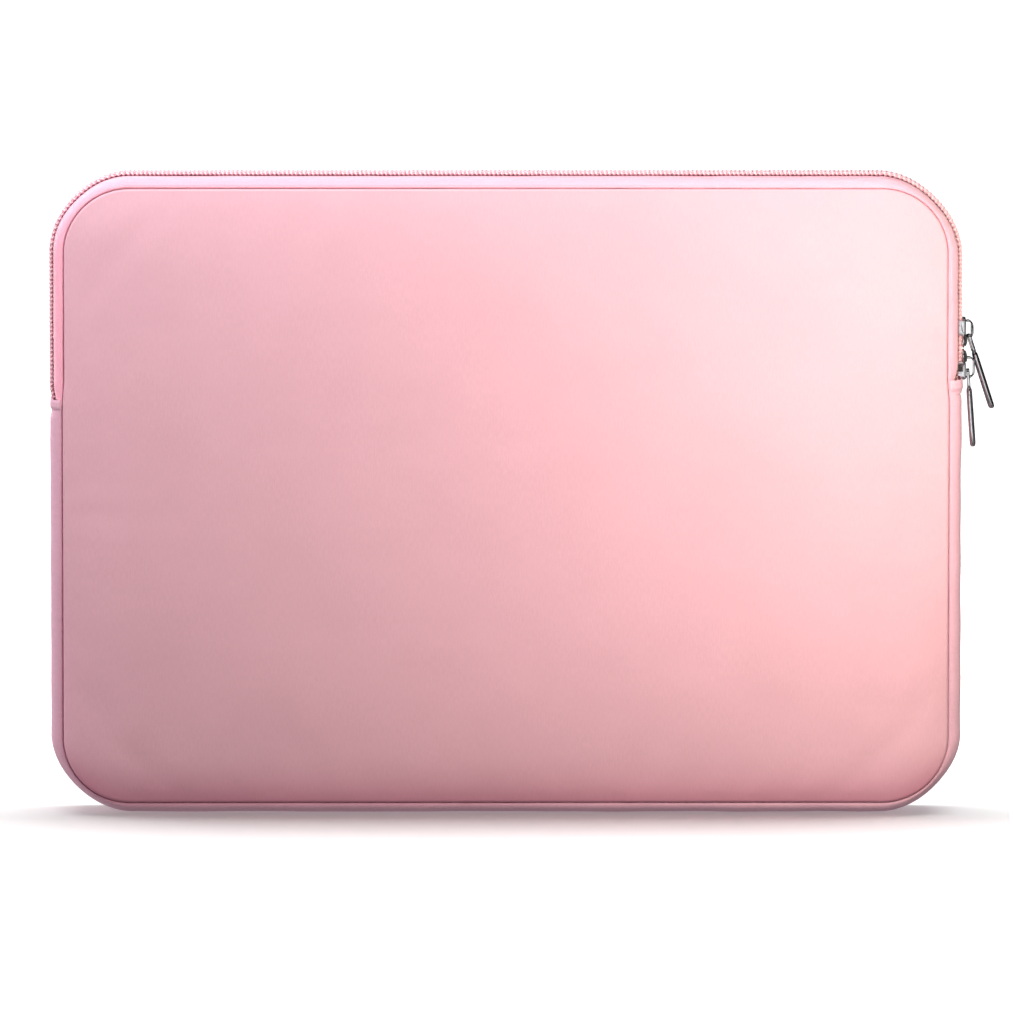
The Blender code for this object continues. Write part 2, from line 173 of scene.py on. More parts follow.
UNDER_TAB = 2.4 * MM
ZIP_RUN = (
    right_side(low("front_zip_tape_right").z - UNDER_TAB),
    left_side(low("front_zip_tape_left").z - UNDER_TAB),
)
GUSSET_RUN = (
    left_side(low("left_end_tab").z + 0.8 * MM),
    right_side(low("right_end_tab").z + 0.8 * MM) + PERIMETER,
)
BINDING_RUN = (-LEGS[3] / 2 - TURN, PERIMETER - LEGS[3] / 2 - TURN - 0.4 * MM)


# ------------------------------------------------------------ numbers for cloth


def ripples(u, v, size, seed):
    """Smooth irregular relief, about -1 to 1, with waves about size long."""
    waves = 7
    rng = np.random.default_rng(seed)
    total = np.zeros(np.broadcast(u, v).shape)
    for _ in range(waves):
        heading, phase = rng.uniform(0.0, 2.0 * math.pi, 2)
        pace = 2.0 * math.pi / (size * rng.uniform(0.7, 1.6))
        total = total + np.sin(pace * (u * math.cos(heading) + v * math.sin(heading)) + phase)
    return total / math.sqrt(waves)


def painted_seam_shade(x, z):
    """How strongly shade is painted into the seams: most at the left and at the bottom, where less light
    falls.
    """
    across = smooth((x + 0.10) / 0.26)
    height = smooth((z - 0.05) / 0.20)
    return 1.0 - 0.85 * np.maximum(across, height * (0.35 + 0.65 * smooth((x + 0.17) / 0.06)))


def puckers(s, seed):
    """How a row of stitches draws cloth in, from -1 to 1 along a seam."""
    stitch = 3.1 * MM
    drift = 1.4 * np.sin(2.0 * math.pi * s / (23.0 * MM) + seed) + 0.8 * np.sin(s / (2.9 * MM) + 2.0 * seed)
    strength = 0.62 + 0.38 * np.sin(2.0 * math.pi * s / (37.0 * MM) + 3.0 * seed)
    return strength * np.sin(2.0 * math.pi * s / stitch + drift)


# --------------------------------------------------------------- making meshes


def make_piece(name, points, faces, uv, material, rim=None):
    """A mesh object with a UV map in metres of cloth and, where given, how much shade is painted on each
    point in a seam.
    """
    mesh = bpy.data.meshes.new(name)
    mesh.from_pydata(points.tolist(), [], faces)
    corner_vertex = np.zeros(len(mesh.loops), np.int32)
    mesh.loops.foreach_get("vertex_index", corner_vertex)
    layer = mesh.uv_layers.new(name="cloth")
    layer.data.foreach_set("uv", uv[corner_vertex].astype(np.float32).ravel())
    if rim is not None:
        attribute = mesh.attributes.new("rim", "FLOAT", "POINT")
        attribute.data.foreach_set("value", rim.astype(np.float32))
    mesh.materials.append(material)
    mesh.shade_smooth()
    piece = bpy.data.objects.new(name, mesh)
    bpy.context.scene.collection.objects.link(piece)
    return piece


def apply_modifiers(piece):
    graph = bpy.context.evaluated_depsgraph_get()
    mesh = bpy.data.meshes.new_from_object(piece.evaluated_get(graph))
    old = piece.data
    piece.modifiers.clear()
    piece.data = mesh
    bpy.data.meshes.remove(old)
    return piece


def thicken(piece, thickness):
    """Give a sheet its thickness, on the side away from its normals."""
    modifier = piece.modifiers.new("thickness", "SOLIDIFY")
    modifier.thickness = thickness
    modifier.offset = -1.0
    apply_modifiers(piece)
    piece.data.set_sharp_from_angle(angle=math.radians(60))
    return piece


def band_faces(rows, columns):
    """Quads of a grid of points, facing out where columns run towards +y and rows along the seam."""
    index = np.arange(rows * columns).reshape(rows, columns)
    quads = (index[:-1, :-1], index[:-1, 1:], index[1:, 1:], index[1:, :-1])
    return np.stack(quads, axis=-1).reshape(-1, 4).tolist()


def stations(run, step):
    return np.linspace(run[0], run[1], int(math.ceil((run[1] - run[0]) / step)) + 1)


def ribbon(name, s, section, thickness, material, relief=None, depth=None, squeeze=None):
    """A band of cloth round the rim.

    section is a list of (y, n) from the front towards the back. relief(s, v) lifts the band off its
    section, v being the distance across it from 0 to 1. depth(v) says how deep in a seam a point lies, and so
    how much shade is painted on it.
    squeeze(s, n) says how far a height is pulled in near an end.
    """
    section = np.array(section)
    steps = np.linalg.norm(np.diff(section, axis=0), axis=1)
    across = np.concatenate(((0.0,), np.cumsum(steps)))
    tangent = np.gradient(section, across, axis=0)
    tangent /= np.linalg.norm(tangent, axis=1)[:, None]
    grid_s, grid_v = np.meshgrid(s, across, indexing="ij")
    y = np.broadcast_to(section[:, 0], grid_s.shape)
    n = np.broadcast_to(section[:, 1], grid_s.shape)
    share = grid_v / across[-1]
    if squeeze is not None:
        n = n - squeeze(grid_s, n)
    if relief is not None:
        lift = relief(grid_s, share)
        y = y - tangent[:, 1] * lift
        n = n + tangent[:, 0] * lift
    points = wrap(grid_s, y, n).reshape(-1, 3)
    uv = np.stack((grid_s, grid_v), axis=-1).reshape(-1, 2)
    # rim: how much shade is painted on each point, deep in a seam and more at the left and bottom
    rim = None if depth is None else depth(share).ravel() * painted_seam_shade(points[:, 0], points[:, 2])
    piece = make_piece(name, points, band_faces(*grid_s.shape), uv, material, rim)
    return thicken(piece, thickness)


def tube(name, centre, across, up, radius, sides, material):
    """A round wire along centre, an array of flat rim points; across and up span its section."""
    across, up = np.broadcast_to(across, centre.shape), np.broadcast_to(up, centre.shape)
    angles = np.linspace(0.0, 2.0 * math.pi, sides, endpoint=False)
    ring = across[:, None, :] * np.cos(angles)[None, :, None] + up[:, None, :] * np.sin(angles)[None, :, None]
    flat = centre[:, None, :] + radius * ring
    points = wrap(flat[..., 0], flat[..., 1], flat[..., 2]).reshape(-1, 3)
    count = len(centre)
    index = np.arange(count * sides).reshape(count, sides)
    turned = np.roll(index, -1, axis=1)
    quads = np.stack((index[:-1], turned[:-1], turned[1:], index[1:]), axis=-1).reshape(-1, 4).tolist()
    ends = [index[0][::-1].tolist(), index[-1].tolist()]
    length = np.concatenate(((0.0,), np.cumsum(np.linalg.norm(np.diff(centre, axis=0), axis=1))))
    uv = np.stack(np.broadcast_arrays(length[:, None], radius * angles[None, :]), axis=-1).reshape(-1, 2)
    piece = make_piece(name, points, quads + ends, uv, material)
    face_outwards(piece.data)
    piece.data.set_sharp_from_angle(angle=math.radians(60))
    return piece


def face_outwards(mesh):
    builder = bmesh.new()
    builder.from_mesh(mesh)
    bmesh.ops.recalc_face_normals(builder, faces=builder.faces)
    builder.to_mesh(mesh)
    builder.free()


# ------------------------------------------------------------------- materials


class Graph:
    """The nodes of a material or a world, written as nested calls."""

    def __init__(self, owner, shader="Principled BSDF"):
        owner.use_nodes = True
        self.owner = owner
        self.tree = owner.node_tree
        self.shader = self.tree.nodes[shader]

    def set(self, socket, value):
        if isinstance(value, bpy.types.NodeSocket):
            self.tree.links.new(value, socket)
        else:
            socket.default_value = value

    def feed(self, name, value):
        self.set(self.shader.inputs[name], value)

    def plain(self, **values):
        for key, value in values.items():
            self.shader.inputs[key.replace("_", " ")].default_value = value

    def node(self, kind, output=0, settings=None, **inputs):
        node = self.tree.nodes.new("ShaderNode" + kind)
        for key, value in (settings or {}).items():
            setattr(node, key, value)
        for key, value in inputs.items():
            name = key[1:] if key[0] == "_" and key[1:].isdigit() else key
            socket = node.inputs[int(name)] if name.isdigit() else node.inputs[name]
            self.set(socket, value)
        return node.outputs[output]

    def math(self, operation, a, b=0.0, c=0.0):
        return self.node("Math", settings={"operation": operation}, _0=a, _1=b, _2=c)

    def product(self, first, *others):
        for other in others:
            first = self.math("MULTIPLY", first, other)
        return first

    def between(self, share, a, b):
        """a where share is 0, b where it is 1."""
        return self.math("MULTIPLY_ADD", share, self.math("SUBTRACT", b, a), a)

    def wave(self, value, length):
        return self.math("SINE", self.math("MULTIPLY", value, 2.0 * math.pi / length))

    def scaled(self, vector, factor):
        return self.node("VectorMath", settings={"operation": "SCALE"}, _0=vector, Scale=factor)

    def split(self, vector):
        return self.node("SeparateXYZ", Vector=vector).node.outputs

    def cloth_mm(self):
        """Place on the cloth, in millimetres."""
        return self.scaled(self.node("UVMap", settings={"uv_map": "cloth"}), 1.0 / MM)

    def object_mm(self):
        """Place on the piece, in millimetres."""
        return self.scaled(self.node("TexCoord", output=3), 1.0 / MM)

    def stretched(self, vector, across, along):
        return self.node("Mapping", Vector=vector, Scale=(across, along, 1.0))

    def noise(self, vector, scale, detail=2.0, roughness=0.5):
        return self.node("TexNoise", Vector=vector, Scale=scale, Detail=detail, Roughness=roughness)

    def remap(self, value, low_in, high_in, low_out, high_out):
        return self.node(
            "MapRange", Value=value, _1=low_in, _2=high_in, _3=low_out, _4=high_out,
            settings={"interpolation_type": "SMOOTHSTEP"},
        )

    def mix(self, factor, a, b):
        node = self.tree.nodes.new("ShaderNodeMix")
        node.data_type = "RGBA"
        for index, value in ((0, factor), (6, a), (7, b)):
            self.set(node.inputs[index], value)
        return node.outputs[2]

    def with_painted_seam_shade(self, colour):
        """A cloth's colour, with shade painted darker into the seams."""
        seam = self.node("Attribute", output=2, settings={"attribute_name": "rim"})
        deep = [channel * share for channel, share in zip(colour, SEAM_SHADE_FACTORS)]
        return self.mix(seam, (*colour, 1.0), (*deep, 1.0))

    def bump(self, height, distance, strength=1.0):
        self.feed("Normal", self.node("Bump", Height=height, Distance=distance, Strength=strength))


def new_material(name):
    return Graph(bpy.data.materials.new(name))


# How much each channel of a cloth's colour is darkened where shade is painted into a seam
SEAM_SHADE_FACTORS = (0.80, 0.42, 0.56)


def fabric(name, colour, sheen, roughness):
    """Woven cloth: weave, slubs, faded and darker patches, and shade painted into the seams."""
    graph = new_material(name)
    place = graph.cloth_mm()
    x, y, _ = graph.split(place)
    pitch, grain = 0.55, 0.025
    threads = graph.math("MULTIPLY_ADD", graph.product(graph.wave(x, pitch), graph.wave(y, pitch)), 0.5, 0.5)
    slubs = graph.noise(graph.stretched(place, 1.6, 0.35), 1.0, 3.0, 0.6)
    patches = graph.noise(place, 0.028, 3.0, 0.55)
    specks = graph.noise(place, 1.9, 2.0, 0.7)
    tone = graph.product(
        graph.remap(slubs, 0.3, 0.7, 1.0 - grain, 1.0 + grain),
        graph.remap(patches, 0.3, 0.7, 0.985, 1.015),
        graph.remap(specks, 0.25, 0.75, 0.985, 1.015),
        graph.remap(threads, 0.0, 1.0, 0.97, 1.02),
    )
    graph.feed("Base Color", graph.scaled(graph.with_painted_seam_shade(colour), tone))
    graph.feed("Roughness", graph.remap(slubs, 0.3, 0.7, roughness - 0.05, roughness + 0.06))
    graph.bump(graph.math("MULTIPLY_ADD", slubs, 0.9, threads), 0.05 * MM)
    graph.plain(Sheen_Weight=sheen, Sheen_Roughness=0.45, IOR=1.42, Sheen_Tint=(1.0, 0.93, 0.95, 1.0))
    return graph.owner


def ribbed_tape(name, colour):
    """Zip tape: fine ribs along the zip, crossed by weft, slightly faded in places, with shade painted into
    its seams.
    """
    graph = new_material(name)
    place = graph.cloth_mm()
    x, y, _ = graph.split(place)
    height = graph.math("MULTIPLY_ADD", graph.wave(x, 0.41), 0.35, graph.wave(y, 0.62))
    fuzz = graph.noise(place, 1.4, 3.0, 0.6)
    tone = graph.product(
        graph.remap(height, -1.3, 1.3, 0.93, 1.04), graph.remap(fuzz, 0.3, 0.7, 0.95, 1.05)
    )
    graph.feed("Base Color", graph.scaled(graph.with_painted_seam_shade(colour), tone))
    graph.feed("Roughness", graph.remap(fuzz, 0.3, 0.7, 0.66, 0.80))
    graph.bump(graph.math("MULTIPLY_ADD", fuzz, 1.2, height), 0.05 * MM)
    graph.plain(Sheen_Weight=0.3, Sheen_Roughness=0.4, IOR=1.42)
    return graph.owner


def coil_plastic(name, colour):
    """Extruded polyester wire: satin, with draw lines along it."""
    graph = new_material(name)
    place = graph.cloth_mm()
    lines = graph.noise(graph.stretched(place, 0.3, 5.0), 1.0, 2.0, 0.5)
    dust = graph.noise(place, 0.25, 3.0, 0.6)
    tone = graph.product(
        graph.remap(lines, 0.3, 0.7, 0.95, 1.05), graph.remap(dust, 0.3, 0.7, 0.94, 1.06)
    )
    graph.feed("Base Color", graph.scaled(colour, tone))
    graph.feed("Roughness", graph.remap(dust, 0.3, 0.7, 0.38, 0.52))
    graph.bump(lines, 0.02 * MM)
    graph.plain(IOR=1.5)
    return graph.owner


def plush(name, colour):
    """Brushed lining: short pile in soft tufts."""
    graph = new_material(name)
    place = graph.cloth_mm()
    pile = graph.noise(place, 2.2, 4.0, 0.7)
    tufts = graph.noise(place, 0.22, 3.0, 0.6)
    tone = graph.product(
        graph.remap(pile, 0.3, 0.7, 0.88, 1.06), graph.remap(tufts, 0.3, 0.7, 0.94, 1.05)
    )
    graph.feed("Base Color", graph.scaled(colour, tone))
    graph.feed("Roughness", graph.remap(pile, 0.3, 0.7, 0.85, 0.98))
    graph.bump(graph.math("MULTIPLY_ADD", tufts, 1.5, pile), 0.25 * MM)
    graph.plain(Sheen_Weight=0.7, Sheen_Roughness=0.5)
    return graph.owner


def open_foam(name, colour):
    """Cut polyurethane foam: small open cells."""
    graph = new_material(name)
    cells = graph.node("TexVoronoi", Vector=graph.cloth_mm(), Scale=1.6)
    graph.feed("Base Color", graph.scaled(colour, graph.remap(cells, 0.0, 0.8, 0.6, 1.15)))
    graph.bump(cells, 0.2 * MM)
    graph.plain(Roughness=0.95)
    return graph.owner


def chrome(name):
    """Plated zinc: polished, with hairline scratches and finger marks."""
    graph = new_material(name)
    place = graph.object_mm()
    hairlines = graph.noise(graph.node("Mapping", Vector=place, Scale=(6.0, 6.0, 0.4)), 1.0, 2.0, 0.6)
    marks = graph.noise(place, 0.45, 4.0, 0.6)
    marked = graph.remap(marks, 0.35, 0.7, 0.0, 1.0)
    graph.feed("Base Color", graph.mix(marked, (0.86, 0.86, 0.88, 1.0), (0.74, 0.75, 0.78, 1.0)))
    smears = graph.remap(marks, 0.4, 0.7, 0.05, 0.16)
    graph.feed("Roughness", graph.math("ADD", smears, graph.remap(hairlines, 0.55, 0.8, 0.0, 0.10)))
    graph.bump(hairlines, 0.004 * MM, 0.6)
    graph.plain(Metallic=1.0)
    return graph.owner


def steel_and_painted_shade(name):
    """Nearly black steel with grey wear; the near-black stands in for the shade under a slider's crown and in
    the gaps of its guide walls.
    """
    graph = new_material(name)
    wear = graph.noise(graph.object_mm(), 1.2, 3.0, 0.6)
    worn = graph.remap(wear, 0.5, 0.75, 0.0, 1.0)
    graph.feed("Base Color", graph.mix(worn, (0.035, 0.033, 0.036, 1.0), (0.16, 0.15, 0.16, 1.0)))
    graph.feed("Roughness", graph.remap(wear, 0.3, 0.7, 0.35, 0.55))
    graph.bump(wear, 0.01 * MM)
    graph.plain(Metallic=0.6)
    return graph.owner


PINK = (0.60, 0.314, 0.382)
PANEL_CLOTH = fabric("panel_cloth", PINK, sheen=0.12, roughness=0.60)
GUSSET_CLOTH = fabric("gusset_cloth", (0.60, 0.325, 0.415), sheen=0.15, roughness=0.64)
TAPE_CLOTH = ribbed_tape("tape_cloth", (0.83, 0.35, 0.455))
COIL_PLASTIC = coil_plastic("coil_plastic", (0.74, 0.50, 0.55))
THREAD = ribbed_tape("sewing_thread", (0.80, 0.42, 0.49))
LINING_PLUSH = plush("lining_plush", (0.86, 0.58, 0.64))
BINDING_CLOTH = ribbed_tape("binding_cloth", (0.80, 0.37, 0.45))
FOAM = open_foam("foam", (0.30, 0.30, 0.31))
CHROME = chrome("chrome")
STEEL_AND_PAINTED_SHADE = steel_and_painted_shade("steel_and_painted_shade")


# ---------------------------------------------------------------------- panels


def inset_of(x, z):
    """Distance of a point inside the seam line."""
    out_x, out_z = np.abs(x) - CORNER_X, np.abs(z - MIDDLE_Z) - CORNER_RISE
    beyond = np.hypot(np.maximum(out_x, 0.0), np.maximum(out_z, 0.0))
    return CORNER_RADIUS - beyond - np.minimum(np.maximum(out_x, out_z), 0.0)


def block_axis(half, cells, corner_cells):
    """Centre and turn, from -1 to 1, of each line of cells across a block with rounded corners."""
    middle = np.linspace(-half, half, cells + 1)
    centre = np.concatenate((np.full(corner_cells, -half), middle, np.full(corner_cells, half)))
    ramp = np.arange(corner_cells, 0, -1) / corner_cells
    return centre, np.concatenate((-ramp, np.zeros(cells + 1), ramp[::-1]))


def grid_faces(columns, rows):
    """Quads of a panel's grid of points, as seen from the front."""
    index = np.arange(columns * rows).reshape(columns, rows)
    quads = (index[:-1, :-1], index[1:, :-1], index[1:, 1:], index[:-1, 1:])
    return np.stack(quads, axis=-1).reshape(-1, 4).tolist()


def panel_layout(cell, block_inset, insets):
    """A rounded panel: a block of cells, a row of triangles that doubles the points, and loops outwards.

    insets are those of the loops. Returns the points (x, z), the faces as seen from the front, and
    the number of points in a loop; the loops come last.
    """
    radius = CORNER_RADIUS - block_inset
    corner_cells = round(radius / cell)
    centre_x, turn_x = block_axis(CORNER_X, round(2 * CORNER_X / cell), corner_cells)
    centre_z, turn_z = block_axis(CORNER_RISE, round(2 * CORNER_RISE / cell), corner_cells)
    squash_x, squash_z = np.sqrt(1.0 - turn_z**2 / 2.0), np.sqrt(1.0 - turn_x**2 / 2.0)
    away_x = turn_x[:, None] * squash_x[None, :]
    away_z = turn_z[None, :] * squash_z[:, None]
    x = centre_x[:, None] + radius * away_x
    z = MIDDLE_Z + centre_z[None, :] + radius * away_z
    wide, tall = x.shape
    index = np.arange(wide * tall).reshape(wide, tall)
    faces = grid_faces(wide, tall)
    last_i, last_j = wide - 1, tall - 1
    run_i, run_j = np.arange(last_i), np.arange(last_j)
    edge_i = np.concatenate((run_i, np.full(last_j, last_i), last_i - run_i, np.zeros(last_j, int)))
    edge_j = np.concatenate((np.zeros(last_i, int), run_j, np.full(last_i, last_j), last_j - run_j))
    edge = index[edge_i, edge_j]
    heading = np.stack((away_x[edge_i, edge_j], away_z[edge_i, edge_j]), axis=-1)
    centre = np.stack((centre_x[edge_i], MIDDLE_Z + centre_z[edge_j]), axis=-1)
    between = heading + np.roll(heading, -1, axis=0)
    between /= np.linalg.norm(between, axis=1)[:, None]
    heading = np.stack((heading, between), axis=1).reshape(-1, 2)
    centre = np.stack((centre, (centre + np.roll(centre, -1, axis=0)) / 2.0), axis=1).reshape(-1, 2)
    count = len(heading)
    loops = [centre + (CORNER_RADIUS - inset) * heading for inset in insets]
    points = np.concatenate([np.stack((x, z), axis=-1).reshape(-1, 2), *loops])
    first = wide * tall
    for k in range(len(edge)):
        here, following = int(edge[k]), int(edge[(k + 1) % len(edge)])
        a, b, c = first + 2 * k, first + 2 * k + 1, first + (2 * k + 2) % count
        faces += [[here, a, b], [here, b, following], [following, b, c]]
    ring = np.arange(count)
    turned = np.roll(ring, -1)
    for row in range(len(insets) - 1):
        near, far = first + row * count, first + (row + 1) * count
        faces += np.stack((near + ring, far + ring, far + turned, near + turned), axis=-1).tolist()
    return points, faces, count


CROWN_CLOTH = {
    "quality": 6, "mass": 0.25, "tension_stiffness": 12.0, "compression_stiffness": 12.0,
    "bending_stiffness": 1.5, "vertex_group_mass": "seam", "use_pressure": True,
    "uniform_pressure_force": 4.0, "shrink_min": -0.003,
}


def simulated_crown():
    """The padded panel blown up by a cloth simulation: heights on a coarse grid, from 0 to 1."""
    columns, rows = 78, 56
    x = np.linspace(-HALF_WIDTH, HALF_WIDTH, columns)
    z = np.linspace(OUTLINE_BOTTOM, OUTLINE_TOP, rows)
    grid_x, grid_z = np.meshgrid(x, z, indexing="ij")
    flat = np.stack((grid_x, np.zeros_like(grid_x), grid_z), axis=-1).reshape(-1, 3)
    mesh = bpy.data.meshes.new("crown_trial")
    mesh.from_pydata(flat.tolist(), [], grid_faces(columns, rows))
    trial = bpy.data.objects.new("crown_trial", mesh)
    bpy.context.scene.collection.objects.link(trial)
    pinned = np.flatnonzero(inset_of(flat[:, 0], flat[:, 2]) < 2.5 * MM)
    group = trial.vertex_groups.new(name="seam")
    group.add(pinned.tolist(), 1.0, "REPLACE")
    cloth = trial.modifiers.new("cloth", "CLOTH")
    cloth.settings.effector_weights.gravity = 0.0
    for key, value in CROWN_CLOTH.items():
        setattr(cloth.settings, key, value)
    scene = bpy.context.scene
    for step in range(1, 21):
        scene.frame_set(step)
    graph = bpy.context.evaluated_depsgraph_get()
    swollen = trial.evaluated_get(graph).to_mesh()
    places = np.zeros(len(swollen.vertices) * 3)
    swollen.vertices.foreach_get("co", places)
    heights = np.abs(places.reshape(-1, 3)[:, 1]).reshape(columns, rows)
    bpy.data.objects.remove(trial)
    bpy.data.meshes.remove(mesh)
    scene.frame_set(1)
    return np.tanh(1.6 * heights / max(heights.max(), 1e-9)) / math.tanh(1.6)


def sampled(grid, x, z):
    """A grid over the panel's box, read between its points."""
    columns, rows = grid.shape
    u = np.clip((x + HALF_WIDTH) / (2 * HALF_WIDTH), 0.0, 1.0) * (columns - 1)
    v = np.clip((z - OUTLINE_BOTTOM) / (OUTLINE_TOP - OUTLINE_BOTTOM), 0.0, 1.0) * (rows - 1)
    i, j = np.minimum(u.astype(int), columns - 2), np.minimum(v.astype(int), rows - 2)
    a, b = u - i, v - j
    near = grid[i, j] * (1 - b) + grid[i, j + 1] * b
    far = grid[i + 1, j] * (1 - b) + grid[i + 1, j + 1] * b
    return near * (1 - a) + far * a


CROWN_GRID = simulated_crown()


def crown(x, z):
    """How far the padding lifts the skin, from 0 at the seam to 1."""
    rise = 1.0 - np.exp(-np.maximum(0.0, inset_of(x, z) - 0.5 * MM) / CROWN_LENGTH)
    if CROWN_GRID is None:
        return rise
    return 0.6 * rise + 0.4 * sampled(CROWN_GRID, x, z) * smooth(inset_of(x, z) / (6.0 * MM))


def sag(x, z):
    """The padding settles towards the bottom edge that the sleeve stands on."""
    return (1.0 - np.exp(-np.maximum(0.0, inset_of(x, z)) / SAG_LENGTH)) * smooth((0.13 - z) / 0.10)


# Insets of a skin's loops, and the inset and depth of those of its seam allowance
SKIN_LOOPS = in_mm((6.0, 4.5, 3.3, 2.4, 1.8, 1.35, 1.0, 0.8, 0.6, 0.42, 0.27, 0.14, 0.05, 0.0))[0]
ALLOWANCE = in_mm((0.05, 10.55), (0.2, 9.6), (0.45, 8.7), (0.75, 7.7))


def rim_distance(x, z):
    """Rough distance along the seam line, for puckers."""
    angle = np.arctan2(z - MIDDLE_Z, x)
    return np.where(np.abs(z - MIDDLE_Z) * CORNER_X > np.abs(x) * CORNER_RISE, x, z) + angle * 4.0 * MM


def skin(name, side, seed):
    """A panel's outer skin: rolled over at the seam, crowned, drawn in by the stitches."""
    insets = tuple(inset + SEAM_INSET for inset in SKIN_LOOPS + tuple(inset for inset, _ in ALLOWANCE))
    points, faces, count = panel_layout(2.0 * MM, 8.0 * MM, insets)
    x, z = points[:, 0], points[:, 1]
    inset = np.maximum(inset_of(x, z) - SEAM_INSET, 0.0)
    rolled = np.minimum(inset, ROLL_RADIUS)
    height = SEAM_Y + np.sqrt(ROLL_RADIUS**2 - (ROLL_RADIUS - rolled) ** 2)
    height = height + CROWN * crown(x, z) + SAG * sag(x, z)
    loose = smooth(inset / (14.0 * MM))
    rumpled = 0.10 * MM * ripples(x, z, 70 * MM, seed) + 0.03 * MM * ripples(x, z, 17 * MM, seed + 1)
    height = height + loose * rumpled
    drawn = np.exp(-inset / (2.2 * MM)) * smooth(inset / (0.5 * MM))
    height = height + 0.10 * MM * drawn * puckers(rim_distance(x, z), seed)
    # rim: shade painted into the seam where the skin rolls over, and on the seam allowance inside
    rim = 1.0 - smooth(inset / (0.25 * MM))
    for row, (_, y) in enumerate(ALLOWANCE):
        first = len(points) - count * (len(ALLOWANCE) - row)
        height[first : first + count] = y
        rim[first : first + count] = 1.0
    # under: shade painted along the panel's bottom edge, which faces down, away from the light
    lowest = smooth((OUTLINE_BOTTOM + CORNER_RADIUS - z) / (0.8 * CORNER_RADIUS))
    under = 0.65 * np.exp(-inset / (9.0 * MM)) * lowest
    rim = np.maximum(rim * painted_seam_shade(x, z), under)
    places = np.stack((x * fuller(z), side * height, z), axis=-1)
    if side > 0:
        faces = [face[::-1] for face in faces]
    piece = make_piece(name, places, faces, points, PANEL_CLOTH, rim)
    return thicken(piece, SKIN_THICKNESS)


def layer(name, side, face, thickness, lift, material, seed, inwards=False):
    """A foam core or a lining: a flat layer that follows the crown by lift."""
    points, faces, _ = panel_layout(3.0 * MM, 9.0 * MM, tuple(d * MM for d in (6.0, 4.0, 2.6, 1.6, 1.0)))
    x, z = points[:, 0], points[:, 1]
    height = face + lift * crown(x, z)
    height = height + 0.06 * MM * ripples(x, z, 45 * MM, seed) * smooth(inset_of(x, z) / (15.0 * MM))
    if inwards:
        height = height - thickness
    places = np.stack((x, side * height, z), axis=-1)
    if (side > 0) != inwards:
        faces = [face_points[::-1] for face_points in faces]
    piece = make_piece(name, places, faces, points, material)
    return thicken(piece, thickness)


def front_part(piece, *nodes):
    """A piece of the front, with its place baked into its mesh and no body to move with."""
    if nodes:
        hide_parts(*nodes)
    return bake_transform(piece)


def back_part(piece, *nodes):
    """A piece of the body that stands."""
    if nodes:
        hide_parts(*nodes)
    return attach(piece, "sleeve")


def both_parts(piece, word, kind):
    """A piece of the front or the back that stands for the nodes of that kind."""
    if word == "front":
        return front_part(piece, f"front_{kind}_lower", f"front_{kind}_flap")
    return back_part(piece, f"back_{kind}")


def build_panels():
    for word, side, seed in (("front", -1.0, 11), ("back", 1.0, 47)):
        outer = skin(f"{word}_panel_skin", side, seed)
        core = layer(
            f"{word}_foam_core", side, FOAM_FACE, FOAM_THICKNESS, 0.8 * CROWN, FOAM, seed + 2
        )
        lining = layer(
            f"{word}_panel_lining", side, LINING_FACE, LINING_THICKNESS, 0.7 * CROWN, LINING_PLUSH,
            seed + 3, inwards=True,
        )
        for piece, part, slot in (
            (outer, "shell", "outer_fabric"), (core, "foam", "foam"), (lining, "lining", "plush_lining")
        ):
            both_parts(piece, word, part)


# ------------------------------------------------------------------------- rim


def shoulder(centre_y, reach_y, base_n, reach_n, start, steps):
    """From the seam up to the crest of a shoulder, on the +y side."""
    angles = np.radians(np.linspace(start, 90.0, steps))
    return [(centre_y + reach_y * math.cos(a), base_n + reach_n * math.sin(a)) for a in angles]


SEAM_FOOT = in_mm((7.4, -0.6), (8.4, -0.4), (9.6, -0.25), (10.5, -0.15), (11.0, 0.0))
GUSSET_PINCH = 0.9 * MM


def full_width(half):
    return [(-y, n) for y, n in half] + [(y, n) for y, n in reversed(half)]


def in_seam(share, width):
    """1 in the seam at both ends of a section, 0 over the rest."""
    return 1.0 - smooth(np.minimum(share, 1.0 - share) / width)


